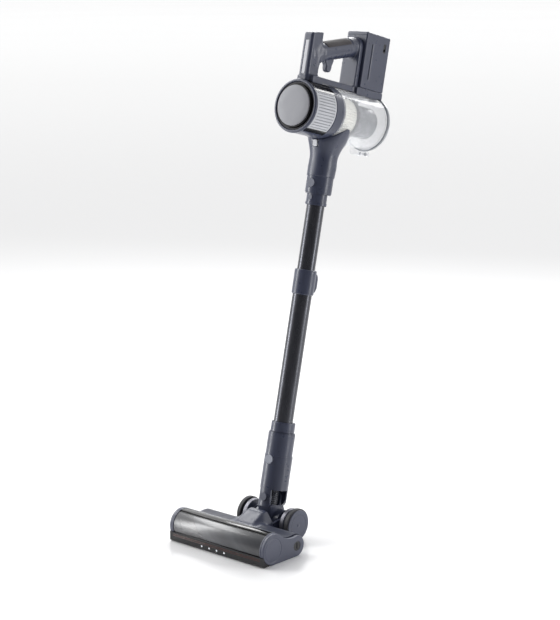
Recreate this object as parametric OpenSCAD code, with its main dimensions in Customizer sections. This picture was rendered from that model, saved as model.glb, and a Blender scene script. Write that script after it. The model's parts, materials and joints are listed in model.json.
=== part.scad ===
// Cordless stick vacuum: handset with a clear cyclone cup, telescopic wand and powered floor head.
// Head frame: X to the right, Y to the back, Z up, floor at Z = 0.
// Wand frame: X to the right, Y away from the front disc, Z up along the wand (see on_wand).

/* [Stance] */
// Backward lean of the wand from upright, in degrees
lean = 12.9; // [11:0.1:15]
// Height at which the wand axis crosses the plane above the head's pivot
axis_z = 62.5; // [61:0.5:66]

/* [Floor head] */
// Width over both end caps
head_w = 244; // [236:1:260]
// Radius of the rounded front of the head
lobe_r = 29.9; // [29:0.1:31]
// Distance of the front round's centre in front of the wand's foot
lobe_out = 127.3; // [125:0.1:130]
// Radius of the rounded back of the head
rear_r = 20.2; // [20:0.1:21]
// Distance of the rear round's centre in front of the wand's foot
rear_out = 62.4; // [61:0.1:64]
// Radius of the hollow between the two rounds
dip_r = 50; // [45:1:60]
// Radius of the brush over its bristles
brush_r = 25.4; // [24:0.1:25.5]
// Radius of the rear wheels over the tyres
wheel_r = 32; // [31.5:0.1:32.5]
// Outer face of each rear wheel, from the middle
wheel_out = 68; // [67:0.1:69]

/* [Wand] */
// Radius of the lower, outer tube
outer_r = 19; // [18.8:0.1:19.2]
// Radius of the upper, inner tube
inner_r = 17.5; // [17.2:0.1:17.6]
// Wall of both tubes
tube_wall = 1; // [0.8:0.1:1.2]
// Radius of the coupling plugs at both ends of the wand
plug_r = 20; // [19.9:0.1:20.1]
// Place of the telescope collar's lower edge along the wand
collar_low = 412.5; // [400:0.5:420]

/* [Handset] */
// Distance along the wand axis to the motor and cup axis
body_z = 765.5; // [764:0.5:768]
// Radius of the motor casing
casing_r = 51; // [50.5:0.1:51.5]
// Radius of the clear dust cup
cup_r = 52; // [51.8:0.1:52.4]
// Radius of the front bezel
bezel_r = 52; // [51.5:0.1:53]
// Front plane of the bezel
front_y = -104.6; // [-106:0.1:-104]
// Back plane of the cup wall
cup_end = 118.4; // [116:0.1:119]
// Half width of the battery
battery_hw = 25.8; // [25:0.1:26]
// Front face of the battery
battery_front = 49; // [48.5:0.5:50]
// Back face of the battery
battery_back = 122.6; // [120:0.1:124]
// Top of the battery along the wand axis
battery_top = 938.5; // [930:0.5:944]
// Radius of the hand grip
grip_r = 17.2; // [16.8:0.1:17.6]

/* [Hidden] */
$fn = 96;
eps = 0.01;
fit = 0.05;                          // radial clearance of a running pin
gap = 0.35;                          // clearance between moving skins

// Stance of the whole object: the footprint's middle lies on the origin.
front_edge = -lobe_out - lobe_r;
back_edge = battery_back * cos(lean) + battery_top * sin(lean);
shift_y = -(front_edge + back_edge) / 2;

// Floor head
half_w = head_w / 2;
deck_lift = 2.4;                     // the deck's rear round stands this much above the end caps
cap_t = 7;
cap_in = half_w - cap_t;
lobe = [-lobe_out, lobe_r];
rear = [-rear_out, rear_r];
skin = 2.5;                          // wall of the head's covers
window_t = 2.2;
window_back = 78;                    // angles that bound the window around the front round
window_front = 199;
split_z = 22;                        // joint between base and deck
chamber_r = 28;
base_front = -105.5;
bay_front = -94;
screw_xs = [-96, -44, 44, 96];
screw_y = -99;
roller_y = -126;
roller_z = 26.2;
core_r = 17;
bristle_x = 103;
pulley_x0 = -112;
pulley_x1 = -104.5;
roller_pulley_r = 12;
motor_pulley_r = 8;
belt_t = 1.5;
belt_gap = 0.3;
ramp_hw = 36.3;
ramp_front = -84;
ramp_back = -33;
ramp_top = 60;
duct_hw = 17;
duct_z0 = 12;
duct_z1 = 27;
bumper_y = -157.2;
led_pitch = 19.5;
led_middle = -7;
led_z = 8;
dial_r = 9;

// Neck pivot
axle_y = 4.1;
axle_z = wheel_r;
axle_r = 4;
tyre_seat = 27.6;
tyre_in = 56.6;
barrel_r = 22;
barrel_hw = 30.5;
arm_in = 31;
arm_out = 36;
arm_r = 13;
axle_c = axle_y * cos(lean) - (axle_z - axis_z) * sin(lean);
axle_s = axle_y * sin(lean) + (axle_z - axis_z) * cos(lean);
swivel_z = 14.6;
swivel_r = 3;
ear_out = 18.6;
ear_in = 13.4;
ear_r = 11;
fork_in = 19;
fork_hw = 14;
fork_low = -4;
back_fork_r = 19;
neck_bulge = 4.5;                    // the neck's swelling to the back
coupling_bulge = 3.4;
hose_r = 12.4;
neck_low = 30;
neck_seam = 96;
neck_top = 141.5;
neck_r = 26;
socket_r = plug_r + gap;
socket_floor = 58;
round_button_r = 9;
neck_button_z = 88;

// Wand
foot_top = 162;
foot_r = 22.5;
tube_seat = 146;
outer_top = 444;
collar_top = 461.5;
collar_r = 21.5;
slider_out = 29.5;
slider_hw = 9;
inner_low = 275;
head_low = 587;
inner_seat = 600;
wand_end = 664;
wand_collar_low = 609.5;
wand_collar_top = 643;
wand_collar_r = 24.8;
wand_button_z = 629;

// Handset body, positions along its own axis
bezel_back = -100;
vent_pitch = 6.6;                    // degrees between two vent slots
vent_back = -40;
ring_back = -18.5;
ring_r = 52;
casing_wall = 3;
seal_out = 45.8;
seal_in = 42.5;
disc_r = 42;
disc_front = front_y - 3;
motor_r = 27;
motor_front = -68;
motor_back = -34;
fan_back = -22;
cup_wall = 2;
cup_front = -18.1;
filter_r = 38;
filter_back = 40;
flange_r = 42;
flange_back = 49;
core_out = 31.4;
core_back = 115.4;
rim_r = 53.2;
lid_r = 54.6;
lid_front = 118.7;
lid_back = 123.2;
hinge_y = 120;
hinge_z = body_z - 60.2;
hinge_r = 1.5;
knuckle_hw = 6.6;
lug_hw = 14;
latch_y = lid_back + 2.2;
latch_z = 810.5;
port_y = 7;
button_w = 10;
button_h = 12.6;
button_tilt = 13.7;
port_r = 15;

// Handle
rail_top = 825;
rail_hw = 20;
post_front = -95.5;
post_back = -62.8;
post_hw = 11.5;
post_top = 914.5;
grip_z0 = 874.6;                     // grip axis at the front post
grip_y0 = -67;
grip_blend = 16;
grip_belly = 2.4;                    // the grip is this much deeper than wide
grip_rise = 16.3;
grip_len = 112;
collar_pad = 1.8;
stay_front = 38;
stay_hw = 20;
stay_top = 926;
dock_floor = 828;
dock_hw = 26.6;
dock_back = 121.9;
saddle_r = 53.8;
dock_saddle_r = 55.2;
pivot_y = -40;
pivot_z = 880;
pin_r = 1.5;
pin_hw = 15.5;
trigger_hw = 6;
case_wall = 2.5;
slot_y = 107.5;
slot_z = 914.5;
slot_w = 7;
slot_h = 17;
jack_r = 2.75;
jack_z = 911;

function arc(c, r, a0, a1, n) =
    [for (i = [0:n]) c + r * [cos(a0 + (a1 - a0) * i / n), sin(a0 + (a1 - a0) * i / n)]];

// Side outline of the floor head, shrunk by e, with its rear round raised by lift.
function head_outline(e = 0, lift = 0) = let (
        back = rear + [0, lift],
        span = norm(back - lobe),
        along = (back - lobe) / span,
        dip_a = ((lobe_r + dip_r) ^ 2 - (rear_r + dip_r) ^ 2 + span ^ 2) / (2 * span),
        dip_h = sqrt((lobe_r + dip_r) ^ 2 - dip_a ^ 2),
        dip = lobe + dip_a * along + dip_h * [-along[1], along[0]],
        lobe_turn = atan2(dip[1] - lobe[1], dip[0] - lobe[0]),
        back_turn = atan2(dip[1] - back[1], dip[0] - back[0]))
    concat(
        arc(lobe, lobe_r - e, 270, lobe_turn, 26),
        arc(dip, dip_r + e, lobe_turn + 180, back_turn + 180, 8),
        arc(back, rear_r - e, back_turn, -90, 18));

module on_head() translate([0, shift_y, 0]) children();
module on_wand() translate([0, shift_y, axis_z]) rotate([-lean, 0, 0]) children();
module box(x, y, z) translate([x[0], y[0], z[0]]) cube([x[1] - x[0], y[1] - y[0], z[1] - z[0]]);
module rod_x(r, x, y, z) translate([x[0], y, z]) rotate([0, 90, 0]) cylinder(r = r, h = x[1] - x[0]);
module rod_y(r, x, y, z) translate([x, y[0], z]) rotate([-90, 0, 0]) cylinder(r = r, h = y[1] - y[0]);
module rod_z(r, z, y = 0) translate([0, y, z[0]]) cylinder(r = r, h = z[1] - z[0]);
// Runs a (y, z) outline along X.
module side(x) translate([x[0], 0, 0]) rotate([90, 0, 90]) linear_extrude(x[1] - x[0]) children();
// Turns a (radius, y) outline about the handset axis.
module turned_y() translate([0, 0, body_z]) rotate([-90, 0, 0]) rotate_extrude() children();
// Turns a (radius, x) outline about an axis along X.
module turned_x(y, z) translate([0, y, z]) rotate([0, 90, 0]) rotate_extrude() children();
module mirrored(s) mirror([s < 0 ? 1 : 0, 0, 0]) children();
module rounded(w, h, r) {
    square([w - 2 * r, h], center = true);
    square([w, h - 2 * r], center = true);
    for (x = [-1, 1], y = [-1, 1])
        translate([x * (w / 2 - r), y * (h / 2 - r)]) circle(r);
}
module grip_frame() translate([0, grip_y0, grip_z0]) rotate([grip_rise - 90, 0, 0]) children();

// ---------------------------------------------------------------- floor head

module head_base() color([0.23, 0.24, 0.29]) on_head() difference() {
    union() {
        base_tray();
        box([-26, 26], [-46, -12], [8, 30]);
        for (s = [-1, 1]) mirrored(s) {
            side([arm_in, arm_out]) polygon([
                [-60, 6], [-60, 33], [axle_y - 4, axle_z + 12.3], [axle_y - 4, axle_z - 12.3]]);
            rod_x(arm_r, [arm_in, arm_out], axle_y, axle_z);
        }
    }
    for (s = [-1, 1]) mirrored(s) rod_x(axle_r, [arm_in - 1, arm_out + 1], axle_y, axle_z);
    box([-duct_hw, duct_hw], [-112, 0], [duct_z0, duct_z1]);
    rod_x(barrel_r + 0.6, [-barrel_hw - 0.4, barrel_hw + 0.4], axle_y, axle_z);
    for (x = screw_xs) translate([x, screw_y, -1]) cylinder(r = 3, h = 8);
}

// Floor of the head with the motor bays on both sides of the air duct.
module base_tray() difference() {
    side([-cap_in, cap_in]) intersection() {
        polygon(head_outline());
        translate([base_front, 0]) square([80, split_z]);
    }
    rod_x(chamber_r, [-cap_in - 1, cap_in + 1], lobe[0], lobe[1]);
    rod_x(brush_r + 0.8, [-cap_in - 1, cap_in + 1], roller_y, roller_z);
    for (s = [-1, 1]) mirrored(s) side([duct_hw + 5, cap_in - 2]) intersection() {
        polygon(head_outline(skin));
        translate([bay_front, 0]) square([60, 60]);
    }
    box([pulley_x0 - 1, pulley_x1 + 1], [base_front - 1, bay_front + 1], [9, 60]);
}

module head_deck() color([0.24, 0.25, 0.30]) on_head() difference() {
    union() {
        side([-cap_in, cap_in]) intersection() {
            difference() {
                polygon(head_outline(0, deck_lift));
                polygon(head_outline(skin, deck_lift));
            }
            translate([lobe[0] + lobe_r * cos(window_back), split_z]) square([100, 60]);
        }
        side([-cap_in, cap_in]) polygon(concat(
            arc(lobe, lobe_r, window_back, -15.5, 16),
            arc(lobe, chamber_r, -15.5, window_back, 16)));
    }
    box([-ramp_hw - 0.2, ramp_hw + 0.2], [ramp_front - 0.2, -30], [split_z - 1, 70]);
    box([-duct_hw, duct_hw], [-112, -90], [duct_z0, duct_z1]);
    box([pulley_x0 - 1, pulley_x1 + 1], [-112, -94], [9, 42]);
}

module neck_ramp() color([0.25, 0.26, 0.31]) on_head() difference() {
    union() {
        hull() {
            box([-22, 22], [ramp_front, -70], [38, 39.5]);
            box([-ramp_hw, ramp_hw], [-58, ramp_back], [38, 39]);
            box([-20, 20], [-45, ramp_back], [ramp_top - 1, ramp_top]);
        }
        box([-ramp_hw, ramp_hw], [ramp_front, -43.5], [split_z, 38]);
    }
    box([-30, 30], [ramp_front + 3, -40], [split_z - 1, 36]);
    box([-15, 15], [-56, -36], [30, 46]);
    for (s = [-1, 1]) mirrored(s) box([arm_in - 0.5, arm_out + 1], [-62, 0], [0, 38]);
}

module roller_window() color([0.35, 0.36, 0.38, 0.55]) on_head()
    side([-cap_in, cap_in]) polygon(concat(
        arc(lobe, lobe_r, window_back, window_front, 24),
        arc(lobe, lobe_r - window_t, window_front, window_back, 24)));

module front_bumper() color([0.06, 0.06, 0.07]) on_head() difference() {
    union() {
        side([-cap_in, cap_in]) bumper_profile(chamber_r + 0.2, 233, window_front + 1, -146.4);
        side([-half_w + 0.8, half_w - 0.8]) bumper_profile(lobe_r + 0.15, 246, window_front, -141);
    }
    for (i = [0:3]) led_place(i) cylinder(r = 2, h = 3);
}

// Outline between the bumper's front plane and a round about the lobe's centre.
module bumper_profile(r, a0, a1, foot) polygon(concat(
    [[bumper_y, 3], [bumper_y + 2.4, 0.6], [foot, 0.6]],
    arc(lobe, r, a0, a1, 8),
    [[bumper_y, 19.4]]));

module led_place(i) translate([led_middle + (i - 1.5) * led_pitch, bumper_y - eps, led_z])
    rotate([-90, 0, 0]) children();

module led_lenses() color([0.95, 0.96, 1.0]) on_head()
    for (i = [0:3]) led_place(i) cylinder(r = 1.95, h = 2.2);

module end_cap(s) color([0.33, 0.34, 0.38]) on_head() mirrored(s) difference() {
    union() {
        side([cap_in, half_w - 1.6]) polygon(head_outline());
        side([half_w - 1.6, half_w]) polygon(head_outline(1.4));
    }
    rod_x(3 + fit, [cap_in - 1, cap_in + 4], roller_y, roller_z);
    if (s > 0) rod_x(dial_r + 0.3, [half_w - 4.2, half_w + 1], rear[0], rear[1]);
}

module end_cap_left() end_cap(-1);
module end_cap_right() end_cap(1);

module lock_dial() color([0.10, 0.10, 0.12]) on_head() difference() {
    rod_x(dial_r, [half_w - 3.8, half_w - 0.4], rear[0], rear[1]);
    box([half_w - 1.8, half_w], [rear[0] - 1.1, rear[0] + 1.1], [rear[1] - 6, rear[1] + 6]);
}

module brush_core() color([0.20, 0.20, 0.22]) on_head() {
    rod_x(core_r, [-bristle_x, cap_in - 1.5], roller_y, roller_z);
    rod_x(roller_pulley_r, [pulley_x0, -bristle_x], roller_y, roller_z);
    rod_x(3, [-cap_in - 3.5, cap_in + 3.5], roller_y, roller_z);
}

module brush_bristles() color([0.62, 0.63, 0.66]) on_head()
    translate([-bristle_x, roller_y, roller_z]) rotate([0, 90, 0])
        linear_extrude(2 * bristle_x, twist = 200, slices = 24, $fn = 8) for (a = [0:90:270])
            rotate(a) translate([core_r - 0.05, -1.6]) square([brush_r - core_r, 3.2]);

module brush_motor() color([0.55, 0.56, 0.58]) on_head() difference() {
    union() {
        rod_x(13.5, [-100, -44], rear[0], rear[1]);
        rod_x(8, [-103.8, -100], rear[0], rear[1]);
    }
    rod_x(2 + fit, [-104, -88], rear[0], rear[1]);
}

module motor_pulley() color([0.30, 0.30, 0.32]) on_head() {
    rod_x(motor_pulley_r, [pulley_x0 + 0.5, pulley_x1], rear[0], rear[1]);
    rod_x(2, [pulley_x1 - eps, -88.5], rear[0], rear[1]);
}

// Loop of the toothed belt: two rounds joined by their common tangents.
module belt_loop(grow) {
    big = [roller_y, roller_z];
    d = rear - big;
    turn = atan2(d[1], d[0]);
    tip = acos((roller_pulley_r - motor_pulley_r) / norm(d));
    r0 = roller_pulley_r + grow;
    r1 = motor_pulley_r + grow;
    polygon(concat(arc(big, r0, turn + tip, turn + 360 - tip, 28),
        arc(rear, r1, turn - tip, turn + tip, 20)));
}

module drive_belt() color([0.05, 0.05, 0.05]) on_head()
    side([pulley_x0 + 1.5, pulley_x1 - 1.5]) difference() {
        belt_loop(belt_gap + belt_t);
        belt_loop(belt_gap);
    }

module wheel_axles() color([0.75, 0.76, 0.78]) on_head() for (s = [-1, 1]) mirrored(s)
    rod_x(axle_r, [24, wheel_out - 4.5], axle_y, axle_z);

module head_screws() color([0.55, 0.56, 0.58]) on_head() for (x = screw_xs)
    translate([x, screw_y, 1]) difference() {
        cylinder(r = 3, h = 6);
        for (a = [0, 90]) rotate(a) translate([-2, -0.4, -1]) cube([4, 0.8, 2]);
    }

module wheel(s) color([0.38, 0.39, 0.43]) on_head() mirrored(s) difference() {
    turned_x(axle_y, axle_z) polygon([
        [0, arm_out + 0.6], [18, arm_out + 0.6], [20, arm_out + 2], [20, 43], [28.4, 43], [29.4, 44],
        [29.4, 52.6], [28.4, 53.6], [25, 53.6], [25, tyre_in], [tyre_seat, tyre_in], [tyre_seat, wheel_out - 1.9],
        [tyre_seat + 2, wheel_out - 1.9], [tyre_seat + 2, wheel_out - 1], [tyre_seat + 1, wheel_out], [0, wheel_out]]);
    rod_x(axle_r + fit, [arm_out, wheel_out - 4], axle_y, axle_z);
}

module wheel_left() wheel(-1);
module wheel_right() wheel(1);

module tyre(s) color([0.12, 0.12, 0.13]) on_head() mirrored(s)
    turned_x(axle_y, axle_z) polygon([
        [tyre_seat, tyre_in], [wheel_r - 1, tyre_in], [wheel_r, tyre_in + 1], [wheel_r, wheel_out - 3],
        [wheel_r - 1, wheel_out - 2], [tyre_seat, wheel_out - 2]]);

module tyre_left() tyre(-1);
module tyre_right() tyre(1);

// ---------------------------------------------------------------- neck joint

module elbow() color([0.10, 0.10, 0.12]) on_wand() difference() {
    union() {
        rod_x(barrel_r, [-barrel_hw, barrel_hw], axle_c, axle_s);
        hull() {
            rod_x(barrel_r - 1, [-17, 17], axle_c, axle_s, $fn = 48);
            box([-16, 16], [-ear_out, ear_out], [-5, 0]);
        }
        for (y = [[-ear_out, -ear_in], [ear_in, ear_out]]) {
            rod_y(ear_r, 0, y, swivel_z);
            box([-ear_r, ear_r], y, [-2, swivel_z]);
        }
    }
    rod_z(hose_r + 0.5, [-7, 40]);
    rod_z(9.5, [-34, 0]);
    rod_x(barrel_r - 3.5, [-20, 20], axle_c, axle_s);
    for (s = [-1, 1]) mirrored(s) rod_x(axle_r + fit, [19, barrel_hw + 1], axle_c, axle_s);
    box([-13, 13], [axle_c - 40, axle_c], [axle_s - 10, axle_s + 6]);
    rod_y(swivel_r + fit, 0, [-ear_out - 1, ear_out + 1], swivel_z);
    rod_y(back_fork_r + 0.6, 0, [fork_in - 0.2, 40], swivel_z);
}

module neck_hose() color([0.16, 0.16, 0.18]) on_wand() rotate_extrude() polygon(concat(
    [[9.8, -6.8], [hose_r + 0.4, -6.8], [hose_r + 0.4, -4]],
    [for (i = [0:9], k = [0, 1]) [hose_r - (k == 0 ? 1.8 : 0), -3 + 4 * i + 2 * k]],
    [[hose_r - 1.8, 37], [14.6, 37.4], [14.6, 40], [9.8, 40]]));

module neck_sleeve() color([0.24, 0.25, 0.30]) on_wand() difference() {
    union() {
        oval(neck_r, neck_bulge, [neck_low, neck_seam]);
        oval(neck_r - 0.7, coupling_bulge, [neck_seam - 1, neck_top - 2]);
        oval(neck_r - 1.5, coupling_bulge, [neck_top - 3, neck_top]);
        intersection() {
            oval(neck_r, neck_bulge, [fork_low, neck_low + 1]);
            union() {
                box([-fork_hw, fork_hw], [-neck_r, -fork_in], [fork_low, neck_low + 1]);
                box([-back_fork_r, back_fork_r], [fork_in, 40], [swivel_z, neck_low + 1]);
                rod_y(back_fork_r, 0, [fork_in + 0.4, 40], swivel_z);
            }
        }
    }
    rod_z(15, [neck_low - 1, socket_floor + 1]);
    rod_z(socket_r, [socket_floor, neck_top + 1]);
    rod_y(round_button_r + gap, 0, [-neck_r - 2, -15], neck_button_z);
    rod_y(swivel_r, 0, [-neck_r - 1, neck_r + neck_bulge + 1], swivel_z);
}

// Round outline with a bulge to the back.
module oval(r, bulge, z) {
    rod_z(r, z);
    rod_z(r, z, y = bulge);
    box([-r, r], [0, bulge], z);
}

module swivel_pins() color([0.42, 0.43, 0.47]) on_wand() {
    rod_y(8.5, 0, [-neck_r - 1.4, -neck_r], swivel_z);
    rod_y(swivel_r, 0, [-neck_r - eps, -ear_in - 0.3], swivel_z);
    rod_y(8.5, 0, [neck_r + neck_bulge, neck_r + neck_bulge + 1.4], swivel_z);
    rod_y(swivel_r, 0, [ear_in + 0.3, neck_r + neck_bulge + eps], swivel_z);
}

// Round push button in a sleeve wall, pressed towards the wand's axis.
module push_button(z, out, inner) rod_y(round_button_r, 0, [-out, -inner], z);

module neck_button() color([0.45, 0.46, 0.50]) on_wand()
    push_button(neck_button_z, neck_r + 0.6, plug_r + 3);

// ---------------------------------------------------------------- wand

module wand_foot() color([0.25, 0.26, 0.31]) on_wand() difference() {
    union() {
        rod_z(plug_r, [socket_floor + 4, neck_top + 1]);
        oval(foot_r, coupling_bulge, [neck_top + 0.4, foot_top - 1.5]);
        oval(foot_r - 0.8, coupling_bulge, [foot_top - 2, foot_top]);
    }
    rod_z(16, [socket_floor, foot_top]);
    rod_z(outer_r, [tube_seat, foot_top + 1]);
}

module outer_tube() color([0.13, 0.13, 0.14]) on_wand() difference() {
    rod_z(outer_r, [tube_seat, outer_top]);
    rod_z(outer_r - tube_wall, [tube_seat - 1, outer_top + 1]);
}

module telescope_collar() color([0.25, 0.26, 0.31]) on_wand() difference() {
    union() {
        rod_z(collar_r, [collar_low + 1.5, collar_top - 1.5]);
        for (s = [0, 1]) translate([0, 0, s == 0 ? collar_low : collar_top - 1.5])
            cylinder(r1 = collar_r - (s == 0 ? 1.5 : 0), r2 = collar_r - (s == 0 ? 0 : 1.5), h = 1.5);
        side([-slider_hw, slider_hw]) polygon([
            [10, collar_low + 2], [20, collar_low + 2], [27, collar_low + 9], [slider_out, collar_low + 16],
            [slider_out, collar_top - 16], [27, collar_top - 9], [20, collar_top - 3], [10, collar_top - 3]]);
    }
    rod_z(outer_r, [collar_low - 1, outer_top]);
    rod_z(inner_r + 0.08, [outer_top - 1, collar_top + 1]);
    box([-6.2, 6.2], [22.5, slider_out + 1], [collar_low + 12.8, collar_top - 12.8]);
}

module telescope_button() color([0.33, 0.34, 0.38]) on_wand()
    box([-5.8, 5.8], [25.4, slider_out + 1.4], [collar_low + 13.2, collar_top - 13.2]);

module inner_tube() color([0.13, 0.13, 0.14]) on_wand() difference() {
    rod_z(inner_r, [inner_low, inner_seat]);
    rod_z(inner_r - tube_wall, [inner_low - 1, inner_seat + 1]);
}

module wand_head() color([0.25, 0.26, 0.31]) on_wand() difference() {
    union() {
        rod_z(plug_r, [head_low, wand_end]);
        rod_z(plug_r + 0.9, [head_low + 1, head_low + 6]);
        translate([0, -plug_r, head_low + 14]) rotate([90, 0, 0])
            linear_extrude(2.4, center = true) rounded(9, 8, 2);
    }
    rod_z(inner_r, [head_low - 1, inner_seat]);
    rod_z(16, [inner_seat - 1, wand_end + 1]);
}

// ---------------------------------------------------------------- handset

module wand_collar() color([0.25, 0.26, 0.31]) on_wand() difference() {
    union() {
        oval(wand_collar_r, coupling_bulge, [wand_collar_low + 2, wand_collar_top]);
        oval(wand_collar_r - 1.2, coupling_bulge, [wand_collar_low, wand_collar_top - 1]);
    }
    rod_z(socket_r, [wand_collar_low - 1, wand_collar_top + 1]);
    rod_y(round_button_r + gap, 0, [-wand_collar_r - 2, -15], wand_button_z);
}

module wand_button() color([0.45, 0.46, 0.50]) on_wand()
    push_button(wand_button_z, wand_collar_r + 0.6, plug_r + 2.9);

module neck_duct() color([0.25, 0.26, 0.31]) on_wand() difference() {
    union() {
        hull() {
            for (y = [0, coupling_bulge])
                rod_z(wand_collar_r, [wand_collar_top, wand_collar_top + 1], y = y, $fn = 48);
            for (z = [650, 687]) duct_section(z, 2.4, 26.2, 26.8);
        }
        hull() {
            duct_section(687, 2.4, 26.2, 26.8);
            duct_section(700, 3.6, 31, 31);
            duct_section(714, 5, 36, 35);
            duct_section(741, 8, 48, 25);
        }
    }
    rod_z(socket_r, [wand_collar_top - 1, wand_end + 1.5]);
    rod_z(port_r, [wand_end, 760], y = 4);
    rod_y(casing_r, 0, [-120, vent_back], body_z);
    rod_y(ring_r, 0, [vent_back - eps, ring_back + eps], body_z);
    rod_y(cup_r + gap, 0, [ring_back, 130], body_z);
    on_cup_button() cube([button_w + 0.8, button_h + 0.8, 20], center = true);
}

module duct_section(z, y, rx, ry)
    translate([0, y, z]) scale([rx, ry, 1]) cylinder(r = 1, h = 1, $fn = 40);

// The release button's place on the sloping front of the duct.
module on_cup_button() translate([0, -28.6, 706]) rotate([90 + button_tilt, 0, 0]) children();

module cup_button() color([0.82, 0.83, 0.85]) on_wand() on_cup_button()
    translate([0, 0, -2.5]) linear_extrude(4.5) rounded(button_w, button_h, 2.5);

module motor_casing() color([0.24, 0.25, 0.30]) on_wand() difference() {
    union() {
        rod_y(casing_r, 0, [bezel_back, vent_back], body_z);
        rod_y(ring_r, 0, [vent_back, ring_back], body_z);
        rod_y(cup_r - cup_wall - gap, 0, [ring_back - 1, ring_back + 8], body_z);
    }
    rod_y(casing_r - casing_wall, 0, [bezel_back - 1, ring_back - 3], body_z);
    rod_y(14, 0, [ring_back - 4, ring_back + 9], body_z);
    rod_y(cup_r - cup_wall - 3, 0, [ring_back, ring_back + 9], body_z);
    for (s = [-1, 1]) mirrored(s) vent_wedge(0);
}

// Wedge that bounds one vent panel on the +X side.
module vent_wedge(grow) intersection() {
    translate([0, 0, body_z]) rotate([-90, 0, 0]) translate([0, 0, bezel_back + 2 - grow])
        linear_extrude(vent_back - bezel_back - 3 + 2 * grow)
            polygon([[0, 0], [90 * cos(40 + grow), -90 * sin(40 + grow)], [110, 0],
                [90 * cos(62 + grow), 90 * sin(62 + grow)]]);
    box([20, 60], [-120, 0], [700, 830]);
}

module front_bezel() color([0.20, 0.21, 0.25]) on_wand() turned_y() polygon(concat(
    [[seal_out + 0.4, bezel_back], [seal_out + 0.4, front_y + 1.2], [seal_out + 1.4, front_y]],
    arc([bezel_r - 3, front_y + 3], 3, 270, 360, 8),
    [[bezel_r, bezel_back]]));

module vent_grille() color([0.68, 0.69, 0.71]) on_wand() for (s = [-1, 1]) mirrored(s) difference() {
    intersection() {
        difference() {
            rod_y(casing_r + 0.3, 0, [bezel_back, vent_back], body_z);
            rod_y(casing_r - 2.2, 0, [bezel_back - 1, vent_back + 1], body_z);
        }
        vent_wedge(-0.15);
    }
    for (i = [0:14]) translate([0, 0, body_z]) rotate([0, 58 - i * vent_pitch, 0])
        box([44, 60], [bezel_back + 6, vent_back - 5], [-0.8, 0.8]);
}

module filter_seal() color([0.03, 0.03, 0.035]) on_wand() turned_y() polygon([
    [seal_in, bezel_back + 1], [seal_out, bezel_back + 1], [seal_out, front_y + 1.6],
    [seal_in, front_y + 2.2]]);

module filter_cover() color([0.67, 0.68, 0.70]) on_wand() turned_y() polygon([
    [0, disc_front], [disc_r - 1, disc_front], [disc_r, disc_front + 1], [disc_r, bezel_back + 2],
    [disc_r - 3, bezel_back + 2], [disc_r - 3, disc_front + 3], [0, disc_front + 3]]);

// Pleated ring behind the cover.
module hepa_filter() color([0.90, 0.90, 0.88]) on_wand() difference() {
    translate([0, 0, body_z]) rotate([-90, 0, 0]) translate([0, 0, disc_front + 3])
        linear_extrude(32) polygon([for (i = [0:79]) (i % 2 == 0 ? 39 : 35.5)
            * [cos(i * 4.5), sin(i * 4.5)]]);
    rod_y(22, 0, [disc_front + 5, 0], body_z);
}

module motor_body() color([0.50, 0.42, 0.34]) on_wand() difference() {
    union() {
        rod_y(motor_r, 0, [motor_front, motor_back], body_z);
        rod_y(casing_r - casing_wall, 0, [motor_back - 6, motor_back - 3], body_z);
    }
    rod_y(2.5 + fit, 0, [motor_front + 4, motor_back + 1], body_z);
    for (a = [0:60:300]) translate([37 * cos(a), 0, body_z + 37 * sin(a)])
        rotate([-90, 0, 0]) translate([0, 0, motor_front]) cylinder(r = 6, h = 60);
}

// Shaft with its bladed fan.
module fan_rotor() color([0.80, 0.81, 0.82]) on_wand() {
    rod_y(2.5, 0, [motor_front + 5, fan_back], body_z);
    rod_y(24, 0, [motor_back + 1.5, motor_back + 3.5], body_z);
    rod_y(7, 0, [motor_back + 3, fan_back], body_z);
    for (a = [0:40:320]) translate([0, 0, body_z]) rotate([0, a, 0])
        box([6, 23], [motor_back + 3, fan_back - 1], [-0.7, 0.7]);
}

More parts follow.
